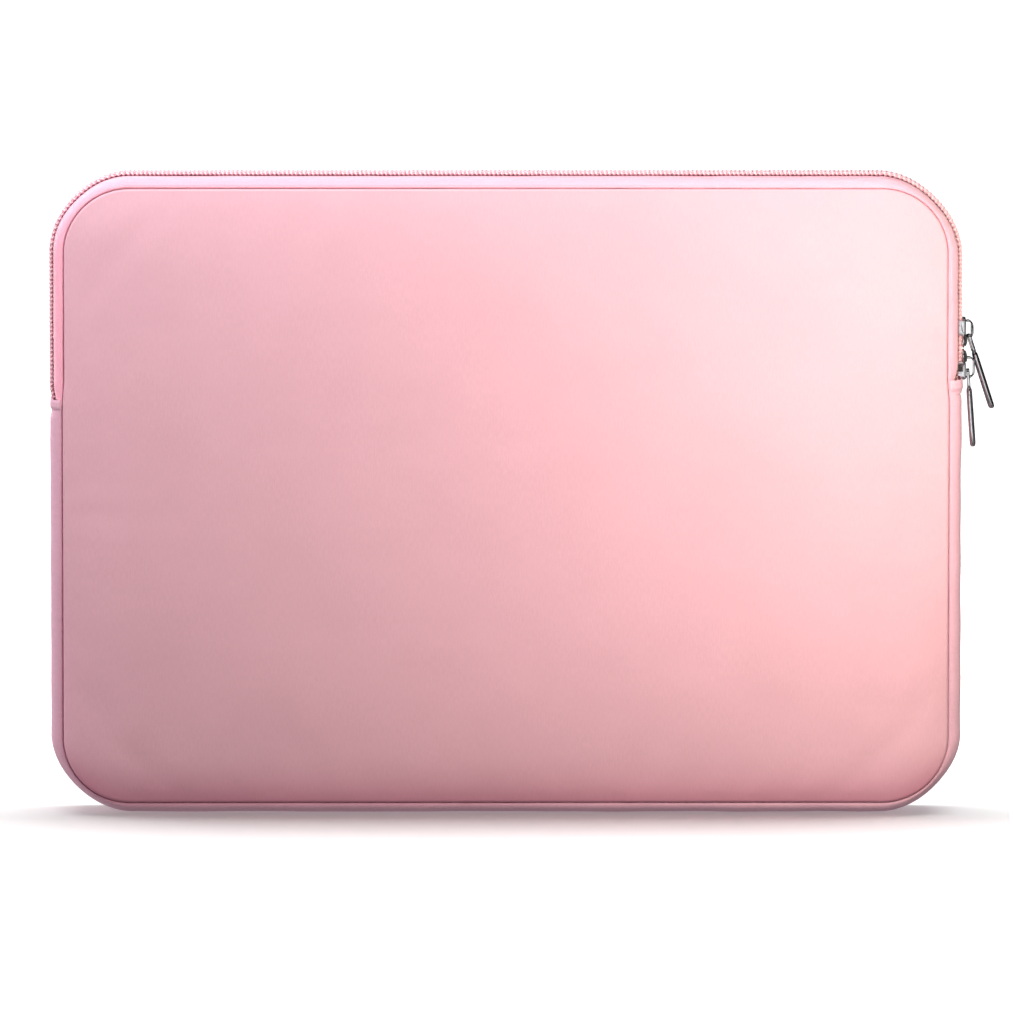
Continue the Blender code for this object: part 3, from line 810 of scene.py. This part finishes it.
def build_gusset():
    half = SEAM_FOOT + shoulder(6.0 * MM, 5.35 * MM, 0.10 * MM, 4.55 * MM, 4.0, 15)
    half += in_mm((4.5, 4.67), (3.0, 4.69), (1.5, 4.70))
    s = stations(GUSSET_RUN, 0.9 * MM)

    def relief(s, v):
        near = np.exp(-np.minimum(v, 1 - v) / 0.16) * smooth(np.minimum(v, 1 - v) / 0.12)
        drawn = 0.16 * MM * near * np.where(v < 0.5, puckers(s, 1.0), puckers(s, 2.3))
        return drawn + 0.10 * MM * ripples(s, v * 30 * MM, 26 * MM, 5) * smooth(np.minimum(v, 1 - v) / 0.3)

    def pinched(s, n):
        """Both ends go down into the seam under the end tabs."""
        end = np.minimum(s - GUSSET_RUN[0], GUSSET_RUN[1] - s)
        share = 1.0 - smooth((end + 0.2 * MM) / (4.0 * MM))
        return share * GUSSET_PINCH * np.clip(n / (4.0 * MM), 0.0, 1.0)

    # The ends of the gusset's section get shade painted where they go into the seams
    outer = ribbon(
        "gusset_skin", s, full_width(half), SKIN_THICKNESS, GUSSET_CLOTH,
        relief, lambda v: in_seam(v, 0.20), pinched,
    )
    core_half = shoulder(6.0 * MM, 4.3 * MM, 0.4 * MM, 3.6 * MM, 8.0, 9) + in_mm((2.5, 4.0))
    core = ribbon("gusset_foam_core", s[::3], full_width(core_half), 1.3 * MM, FOAM, squeeze=pinched)
    lining_half = in_mm((6.6, 1.4), (4.0, 1.45), (1.5, 1.5))
    lining = ribbon("gusset_lining_cloth", s[::3], full_width(lining_half), 0.6 * MM, LINING_PLUSH)
    for piece, part, slot in (
        (outer, "shell", "outer_fabric"), (core, "foam", "foam"), (lining, "lining", "plush_lining")
    ):
        back_part(piece, f"gusset_{part}")


def end_dip(s):
    """How far the zip goes down under its two end tabs."""
    end = np.minimum(s - ZIP_RUN[0], ZIP_RUN[1] - s)
    return 1.0 - smooth(end / (8.5 * MM))


def build_tapes():
    half = SEAM_FOOT + shoulder(7.0 * MM, 4.35 * MM, 0.10 * MM, 3.60 * MM, 4.0, 13)
    half += in_mm((5.6, 3.84), (4.2, 3.94), (3.2, 3.92), (2.2, 3.84), (0.8, 3.70))
    s = stations(ZIP_RUN, 0.9 * MM)

    def relief(s, v):
        near = np.exp(-v / 0.12) * smooth(v / 0.1)
        loose = 0.06 * MM * ripples(s, v * 14 * MM, 21 * MM, 9) * smooth(v / 0.3)
        return 0.14 * MM * near * puckers(s, 0.4) + loose

    def dipped(s, n):
        return 1.5 * MM * end_dip(s) * np.clip(n / (2 * MM), 0.0, 1.0)

    # Each tape gets shade painted along the edge that goes into its seam
    front = ribbon(
        "front_tape", s, [(-y, n) for y, n in half], 0.55 * MM, TAPE_CLOTH,
        relief, lambda v: 1.0 - smooth(v / 0.34), dipped,
    )
    back = ribbon(
        "back_tape", s, list(reversed(half)), 0.55 * MM, TAPE_CLOTH,
        lambda s, v: relief(s, 1.0 - v), lambda v: 1.0 - smooth((1.0 - v) / 0.34), dipped,
    )
    front_part(front, "front_zip_tape_left", "front_zip_tape_right", "front_zip_tape_flap")
    back_part(back, "back_zip_tape")


COIL_LEVEL, COIL_DIP, COIL_Y = 4.75 * MM, 1.5 * MM, 1.45 * MM


def coil_level(s):
    return COIL_LEVEL - COIL_DIP * end_dip(s)


def coil_turns(offset, steps_per_turn):
    """The angle and the place along the zip of each step of a coil."""
    turns = int((ZIP_RUN[1] - ZIP_RUN[0]) / COIL_PITCH) - 1
    phase = np.arange(turns * steps_per_turn + 1) * (2.0 * math.pi / steps_per_turn)
    return phase, ZIP_RUN[0] + (phase / (2.0 * math.pi) + offset) * COIL_PITCH


def coil_wire(name, side, offset):
    """One row of teeth: an oval spiral of wire whose heads reach just past the middle of the zip."""
    phase, s = coil_turns(offset, 12)
    reach_y, reach_n = 1.75 * MM, 0.60 * MM
    y = side * (COIL_Y + reach_y * np.cos(phase))
    n = coil_level(s) + reach_n * np.sin(phase)
    outward = np.stack((np.zeros_like(s), side * reach_n * np.cos(phase), reach_y * np.sin(phase)), axis=-1)
    outward /= np.linalg.norm(outward, axis=1)[:, None]
    return tube(name, np.stack((s, y, n), axis=-1), outward, (1.0, 0.0, 0.0), 0.36 * MM, 6, COIL_PLASTIC)


def coil_cord(name, side):
    """The cord that the coil is wound round."""
    s = stations(ZIP_RUN, 2.0 * MM)[1:-1]
    centre = np.stack((s, np.full_like(s, side * COIL_Y), coil_level(s)), axis=-1)
    return tube(name, centre, (0.0, 2.6, 0.0), (0.0, 0.0, 1.0), 0.50 * MM, 8, THREAD)


def coil_thread(name, side, offset):
    """The thread that sews a coil to its tape: over each turn, down between them."""
    phase, s = coil_turns(offset, 6)
    n = coil_level(s) + 0.60 * MM + 0.18 * MM * np.cos(phase - math.radians(50))
    centre = np.stack((s, np.full_like(s, side * 2.55 * MM), n), axis=-1)
    return tube(name, centre, (0.0, 1.0, 0.0), (0.0, 0.0, 1.0), 0.14 * MM, 5, THREAD)


def build_coils():
    front_nodes = ("front_zip_coil_left", "front_zip_coil_right", "front_zip_coil_flap")
    for word, side, offset, part, nodes in (
        ("front", -1.0, 0.25, front_part, front_nodes), ("back", 1.0, 0.75, back_part, ("back_zip_coil",))
    ):
        wire = coil_wire(f"{word}_coil", side, offset)
        thread = coil_thread(f"{word}_coil_thread", side, offset)
        cord = coil_cord(f"{word}_coil_cord", side)
        part(wire, *nodes)
        part(thread)
        part(cord)


def end_tab(name, side_of, crest, overrun):
    """A folded strip of the sleeve's cloth over an end of the zip, cinched where it meets the gusset."""
    bottom, top = low(name).z - 0.7 * MM, high(name).z + overrun
    half = in_mm((9.6, -0.2), (10.7, -0.1), (11.3, 0.1))
    half += shoulder(6.0 * MM, 5.7 * MM, 0.3 * MM, crest - 0.3 * MM, 8.0, 13)
    half += [(3.0 * MM, crest), (1.0 * MM, crest)]
    cinch = side_of(bottom)
    length = top - bottom

    def relief(s, v):
        """Rounded at the folded top, drawn down hard into the seam along a curve at the bottom."""
        share = np.minimum(v, 1.0 - v)
        curve = 0.5 * MM * np.sin(math.pi * np.clip(share / 0.45, 0.0, 1.0)) ** 2
        rise = np.abs(s - cinch)
        drawn = -0.8 * MM * (1.0 - smooth((rise - curve) / (0.40 * length)))
        folded = -0.25 * MM * smooth((rise / length - 0.80) / 0.2)
        return (drawn + folded) * smooth(share / 0.1) + 0.04 * MM * ripples(s, v * 20 * MM, 9 * MM, 21)

    s = stations(sorted((cinch, side_of(top))), 0.28 * MM)
    # The tab gets shade painted where it goes into the seams
    return ribbon(
        name + "_cloth", s, full_width(half), 0.8 * MM, GUSSET_CLOTH, relief, lambda v: in_seam(v, 0.1)
    )


def build_tabs():
    tabs = (("left_end_tab", left_side, 4.7 * MM, 0.0), ("right_end_tab", right_side, 5.8 * MM, 1.2 * MM))
    for name, side_of, crest, overrun in tabs:
        piece = end_tab(name, side_of, crest, overrun)
        back_part(piece, name)


def build_bindings():
    """Woven tape folded over the raw edges of the two seams inside."""
    turn = np.radians(np.linspace(20.0, 340.0, 15))
    s = stations(BINDING_RUN, 1.5 * MM)
    for word, side in (("front", -1.0), ("back", 1.0)):
        section = [
            (side * 6.5 * MM + 0.8 * MM * math.sin(a), -1.0 * MM + 0.75 * MM * math.cos(a)) for a in turn
        ]
        piece = ribbon(
            f"{word}_binding", s, section, 0.3 * MM, BINDING_CLOTH,
            lambda s, v: 0.05 * MM * puckers(s, 1.7),
        )
        both_parts(piece, word, "seam_binding")


# -------------------------------------------------------------------- hardware


def rounded(points, radius, steps=5):
    """A polygon with its corners turned into curves that start at most radius away from each."""
    result = []
    count = len(points)
    for i in range(count):
        before, here, after = (Vector(points[(i + k) % count]) for k in (-1, 0, 1))
        start = here + (before - here).normalized() * min(radius, 0.45 * (before - here).length)
        end = here + (after - here).normalized() * min(radius, 0.45 * (after - here).length)
        for step in range(steps + 1):
            t = step / steps
            result.append(start * (1 - t) ** 2 + here * 2 * t * (1 - t) + end * t * t)
    return [tuple(point) for point in result]


def loft(name, loops):
    """A solid through loops of points, one after another, closed at both ends."""
    builder = bmesh.new()
    rows = [[builder.verts.new(place) for place in loop] for loop in loops]
    for row, following in zip(rows, rows[1:]):
        for i in range(len(row)):
            j = (i + 1) % len(row)
            builder.faces.new((row[i], row[j], following[j], following[i]))
    builder.faces.new(rows[0])
    builder.faces.new(rows[-1])
    bmesh.ops.recalc_face_normals(builder, faces=builder.faces)
    mesh = bpy.data.meshes.new(name)
    builder.to_mesh(mesh)
    builder.free()
    mesh.materials.append(CHROME)
    piece = bpy.data.objects.new(name, mesh)
    bpy.context.scene.collection.objects.link(piece)
    return piece


def prism(name, outline, axis, low_end, high_end):
    """A flat outline pulled along x, where it is (y, z), or along y, where it is (x, z)."""
    levels = (low_end, high_end)
    if axis == "x":
        return loft(name, [[(level, y, z) for y, z in outline] for level in levels])
    return loft(name, [[(x, level, z) for x, z in outline] for level in levels])


def rectangle(y_from, y_to, z_from, z_to):
    return [(y_from, z_from), (y_to, z_from), (y_to, z_to), (y_from, z_to)]


def soften(piece, width, segments=3):
    """Round the edges off, as tumbling does before plating."""
    modifier = piece.modifiers.new("bevel", "BEVEL")
    modifier.width = width
    modifier.segments = segments
    modifier.limit_method = "ANGLE"
    modifier.angle_limit = math.radians(40)
    return apply_modifiers(piece)


def combine(piece, tools, operation="UNION"):
    for tool in tools:
        modifier = piece.modifiers.new("combine", "BOOLEAN")
        modifier.operation = operation
        modifier.solver = "EXACT"
        modifier.object = tool
    apply_modifiers(piece)
    for tool in tools:
        mesh = tool.data
        bpy.data.objects.remove(tool)
        bpy.data.meshes.remove(mesh)
    return piece


def finish_hardware(piece, metal, place, body, *nodes):
    piece.data.transform(place)
    piece.data.materials[0] = metal
    piece.data.shade_smooth()
    piece.data.set_sharp_from_angle(angle=math.radians(38))
    if nodes:
        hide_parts(*nodes)
    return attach(piece, body)


def both_sides(half):
    return half + [(-y, z) for y, z in reversed(half)]


def slider_plate(name, low_end, high_end):
    """A plate with parallel sides at the tail, wider and cut off at the nose."""
    tail, nose, end = 4.25 * MM, 4.9 * MM, 5.7 * MM
    half = [
        (tail - 0.4 * MM, -end), (tail, -end + 0.6 * MM), (tail, 0.4 * MM),
        (nose, 2.7 * MM), (nose, end - 1.2 * MM), (nose - 1.6 * MM, end),
    ]
    return prism(name, rounded(both_sides(half), 1.1 * MM), "x", low_end, high_end)


def slider_pad(name):
    """The raised part of the top plate, over the tail."""
    outline = rectangle(-4.2 * MM, 4.2 * MM, -5.6 * MM, 0.9 * MM)
    return prism(name, rounded(outline, 0.9 * MM), "x", 6.0 * MM, 7.05 * MM)


def slider_wall(name, side, tail, nose):
    """A piece of the guide wall that runs down from the top plate's edge."""
    outline = rectangle(side * 3.62 * MM, side * 4.25 * MM, tail, nose)
    return prism(name, rounded(outline, 0.3 * MM, 3), "x", 3.9 * MM, 6.6 * MM)


def slider_casting(name, walls):
    """Two plates joined at the nose by a bridge, with guide walls along the edges of the tail."""
    top = soften(slider_plate(name, 5.75 * MM, 6.45 * MM), 0.22 * MM)
    pad = soften(slider_pad(name + "_pad"), 0.40 * MM, 4)
    bottom = soften(slider_plate(name + "_bottom", 1.3 * MM, 2.35 * MM), 0.28 * MM)
    guides = []
    for i, (tail, nose) in enumerate(walls):
        for side in (-1.0, 1.0):
            guide = slider_wall(f"{name}_wall_{i}_{int(side)}", side, tail, nose)
            guides.append(soften(guide, 0.25 * MM))
    bridge = rectangle(-0.45 * MM, 0.45 * MM, 3.6 * MM, 5.2 * MM)
    post = prism(name + "_post", rounded(bridge, 0.3 * MM), "x", 2.0 * MM, 6.2 * MM)
    return combine(top, [pad, bottom, post, *guides])


def slider_crown(name, tail, nose, outer):
    """The arched strap that the pull hangs in, with its two feet clenched on the top plate."""
    foot, thick = 7.15 * MM, 0.8 * MM
    inner = outer - thick
    outline = [
        (foot, tail), (outer - 1.5 * MM, tail), (outer, tail + 1.6 * MM), (outer, nose - 1.6 * MM),
        (outer - 1.5 * MM, nose), (foot, nose), (foot, nose - thick), (inner - 0.7 * MM, nose - thick),
        (inner, nose - thick - 0.7 * MM), (inner, tail + thick + 0.7 * MM), (inner - 0.7 * MM, tail + thick),
        (foot, tail + thick),
    ]
    strap = prism(name, rounded(outline, 1.2 * MM, 7), "y", -1.45 * MM, 1.45 * MM)
    return soften(strap, 0.35 * MM)


def slider_spring(name):
    """The steel leaf under the crown that locks the slider when its pull lies flat, made nearly black as
    painted shade under the crown.
    """
    outline = in_mm((6.5, 1.3), (7.0, 1.0), (7.55, 1.3), (7.6, 3.6), (7.1, 5.1), (6.5, 5.1))
    return soften(prism(name, rounded(outline, 0.4 * MM), "y", -2.4 * MM, 2.4 * MM), 0.15 * MM)


def gap_shadow_plates(name):
    """Dark plates in the gap between the two pieces of each guide wall: painted shadow, standing in for the
    shade in that gap.
    """
    sides = []
    for side in (-1.0, 1.0):
        outline = rectangle(side * 3.65 * MM, side * 4.0 * MM, -2.2 * MM, 0.4 * MM)
        sides.append(prism(f"{name}_{int(side)}", outline, "x", 4.0 * MM, 6.0 * MM))
    return combine(sides[0], sides[1:])


def pull_bar(name):
    """The bar of a pull: a loft through rounded sections, hanging along -z, its thickness along x."""
    # distance below the pivot, half the depth and half the thickness, in mm
    stops = (
        (6.3, 1.3, 0.62), (6.8, 1.9, 0.78), (7.3, 2.15, 1.00), (8.0, 2.3, 1.10), (10.0, 2.34, 1.13),
        (16.0, 2.38, 1.16), (22.0, 2.45, 1.16), (27.8, 2.5, 1.16), (28.8, 2.38, 1.06),
        (29.3, 2.05, 0.78), (29.4, 1.6, 0.45),
    )
    angles = np.linspace(0.0, 2.0 * math.pi, 28, endpoint=False)
    power = 0.75
    loops = []
    for distance, half_y, half_x in stops:
        x = half_x * np.sign(np.cos(angles)) * np.abs(np.cos(angles)) ** power
        y = half_y * np.sign(np.sin(angles)) * np.abs(np.sin(angles)) ** power
        loops.append([(a * MM, b * MM, -distance * MM) for a, b in zip(x, y)])
    return loft(name, loops)


def slider_pull(name):
    """The eye, a rounded loop whose upper bar turns in the crown, and the bar below it."""
    outer = rounded(rectangle(-2.85 * MM, 2.85 * MM, -6.85 * MM, 0.6 * MM), 1.3 * MM, 6)
    window = rounded(rectangle(-1.75 * MM, 1.75 * MM, -6.15 * MM, -0.6 * MM), 0.9 * MM, 6)
    eye = prism(name, outer, "x", -0.6 * MM, 0.6 * MM)
    hole = prism(name + "_hole", window, "x", -2.0 * MM, 2.0 * MM)
    combine(eye, [hole], "DIFFERENCE")
    soften(eye, 0.24 * MM)
    return combine(eye, [pull_bar(name + "_bar")])


SLIDERS = (
    # word, turn, lean and twist of the pull, then in mm: pieces of the guide wall, crown from, to and height
    ("lower", 0.0, 4.0, 0.0, ((-5.0, -2.3), (0.5, 1.4)), (-5.3, 3.0, 10.55)),
    ("upper", math.pi, 17.8, 7.0, ((-5.0, 0.8),), (-4.9, 2.6, 10.05)),
)


def build_hardware():
    for word, turn, lean, twist, walls, arch in SLIDERS:
        body_low, body_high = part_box(f"{word}_slider_body")
        middle = Vector((HALF_WIDTH, 0.0, (body_low.z + body_high.z) / 2))
        place = Matrix.Translation(middle) @ Matrix.Rotation(turn, 4, "X")
        casting = slider_casting(f"{word}_slider_casting", in_mm(*walls))
        finish_hardware(casting, CHROME, place, f"{word}_slider", f"{word}_slider_body")
        strap = slider_crown(f"{word}_slider_strap", *in_mm(arch)[0])
        finish_hardware(strap, CHROME, place, f"{word}_slider", f"{word}_slider_crown")
        # The leaf is partly real; its near-black is painted shade under the crown
        leaf = slider_spring(f"{word}_slider_spring")
        finish_hardware(leaf, STEEL_AND_PAINTED_SHADE, place, f"{word}_slider")
        hung = Matrix.Rotation(-math.radians(lean), 4, "Y") @ Matrix.Rotation(math.radians(twist), 4, "Z")
        swing = Matrix.Translation(pivot_of(f"{word}_pull_swing")) @ hung
        finish_hardware(slider_pull(f"{word}_pull_bar"), CHROME, swing, f"{word}_pull", f"{word}_pull")
        # Only the lower slider gets the dark plates, as painted shadow in the gap of its guide walls
        if word == "lower":
            gap_shadow = gap_shadow_plates(f"{word}_slider_recess")
            finish_hardware(gap_shadow, STEEL_AND_PAINTED_SHADE, place, f"{word}_slider")


# ------------------------------------------------------- floor, light and camera


def build_floor():
    """Matt white, with a painted shadow: its glow is dim next to the sleeve and brighter away. It throws
    little light back on cloth but for a glowing strip under the sleeve, and metal sees a painted reflection
    glowing ahead.
    """
    half, level = 14.0, -0.2 * MM
    corners = [(-half, -half, level), (half, -half, level), (half, half, level), (-half, half, level)]
    mesh = bpy.data.meshes.new("floor")
    mesh.from_pydata(corners, [], [(0, 1, 2, 3)])
    graph = new_material("floor_paint")
    on_cloth, on_metal = graph.node("LightPath", output=2), graph.node("LightPath", output=3)
    place = graph.node("TexCoord", output=3)
    x, y, _ = graph.split(place)
    spot = graph.node("Mapping", Vector=place, Scale=(1.2, 1.0, 0.0))
    away = graph.node("VectorMath", 1, settings={"operation": "LENGTH"}, _0=spot)
    # glow: what the camera sees; dim next to the sleeve, as a painted shadow
    glow = graph.remap(away, 0.13, 0.45, 0.16, 0.85)
    # under: a glowing strip along the sleeve's foot that lights the cloth from below
    under = graph.remap(graph.math("ABSOLUTE", y), 0.01, 0.045, 0.40, 0.0)
    beside = graph.remap(graph.math("ABSOLUTE", x), 0.2, 0.7, 1.0, 0.05)
    # ahead: a glowing patch in front of the sleeve, seen only in metal, as a painted reflection
    ahead = graph.product(graph.remap(y, -0.9, -0.5, 0.95, 0.04), beside)
    graph.feed("Emission Strength", graph.between(on_metal, graph.between(on_cloth, glow, under), ahead))
    # dark: the floor is white to the camera but dark to cloth and metal
    dark = graph.math("MAXIMUM", on_cloth, on_metal)
    graph.feed("Base Color", graph.mix(dark, (0.90, 0.89, 0.89, 1.0), (0.10, 0.09, 0.09, 1.0)))
    graph.plain(Roughness=0.6, IOR=1.1, Emission_Color=(1.0, 0.99, 0.99, 1.0))
    mesh.materials.append(graph.owner)
    floor = bpy.data.objects.new("floor", mesh)
    bpy.context.scene.collection.objects.link(floor)
    return floor


def build_world():
    """White to the camera; for cloth, soft behind and above; for metal, bright ahead and above."""
    world = bpy.data.worlds.new("studio")
    bpy.context.scene.world = world
    graph = Graph(world, "Background")
    _, y, z = graph.split(graph.node("TexCoord"))
    seen, on_metal = graph.node("LightPath"), graph.node("LightPath", output=3)
    lit = graph.math("MAXIMUM", graph.remap(y, -0.15, 0.3, 0.05, 0.60), graph.remap(z, 0.6, 0.95, 0.0, 0.2))
    mirrored = graph.math(
        "MAXIMUM", graph.remap(y, -0.98, -0.91, 0.95, 0.02), graph.remap(z, 0.8, 0.95, 0.0, 0.5)
    )
    graph.feed("Strength", graph.between(seen, graph.between(on_metal, lit, mirrored), 1.0))
    graph.plain(Color=(1.0, 1.0, 1.0, 1.0))


def softbox(name, place, aim, size, power, colour):
    light = bpy.data.lights.new(name, "AREA")
    light.shape = "RECTANGLE"
    light.size, light.size_y = size
    light.energy = power
    light.color = colour
    lamp = bpy.data.objects.new(name, light)
    bpy.context.scene.collection.objects.link(lamp)
    lamp.location = place
    lamp.rotation_mode = "QUATERNION"
    lamp.rotation_quaternion = (Vector(aim) - Vector(place)).to_track_quat("-Z", "Y")
    lamp.visible_camera = False
    lamp.visible_glossy = False
    return lamp


def linked(name, lamps, floor, state):
    """Light only the floor, or everything but the floor."""
    group = bpy.data.collections.new(name)
    group.objects.link(floor)
    group.collection_objects[0].light_linking.link_state = state
    for lamp in lamps:
        lamp.light_linking.receiver_collection = group


WHITE = (1.0, 1.0, 1.0)
SLEEVE_LIGHTS = (
    # name, place, aim, size, power, colour: two close to the panel, one at its left edge, one behind
    ("key", (0.209, -0.250, 0.206), (0.141, 0.0, 0.142), (0.2, 0.2), 1.50, (1.0, 0.985, 0.79)),
    ("upper", (-0.116, -0.150, 0.448), (-0.05, 0.0, 0.14), (0.5, 0.5), 2.70, (0.93, 1.02, 1.0)),
    ("side", (-1.10, -0.22, 0.25), (-0.17, 0.0, 0.12), (0.45, 0.45), 6.8, WHITE),
    ("back_fill", (-0.8, 0.9, 0.55), (0.0, 0.0, 0.12), (0.6, 0.8), 11.0, WHITE),
)
FLOOR_LIGHT = ("top", (0.05, 0.155, 1.30), (0.05, 0.12, 0.0), (1.7, 0.26), 17.5, WHITE)


def build_lights(floor):
    """Soft lights for everything but the floor, and one above it for the floor alone."""
    linked("off_the_floor", [softbox(*row) for row in SLEEVE_LIGHTS], floor, "EXCLUDE")
    linked("on_the_floor", [softbox(*FLOOR_LIGHT)], floor, "INCLUDE")


def build_camera():
    distance, rise = 6.0, math.radians(7.4)
    seen_width = 0.388
    camera_data = bpy.data.cameras.new("camera")
    camera_data.sensor_width = 36.0
    camera_data.lens = camera_data.sensor_width * distance / seen_width
    camera_data.clip_start = 0.1
    camera_data.clip_end = 60.0
    camera = bpy.data.objects.new("camera", camera_data)
    bpy.context.scene.collection.objects.link(camera)
    aim = Vector((-0.3 * MM, 0.0, 118.07 * MM))
    back = Vector((0.0, -math.cos(rise), math.sin(rise)))
    camera.location = aim + back * distance
    camera.rotation_euler = (math.radians(90) - rise, 0.0, 0.0)
    bpy.context.scene.camera = camera


build_camera()
build_world()
build_lights(build_floor())
build_panels()
build_gusset()
build_tapes()
build_coils()
build_tabs()
build_bindings()
build_hardware()
bpy.context.scene.view_settings.view_transform = "Standard"
bpy.context.view_layer.update()
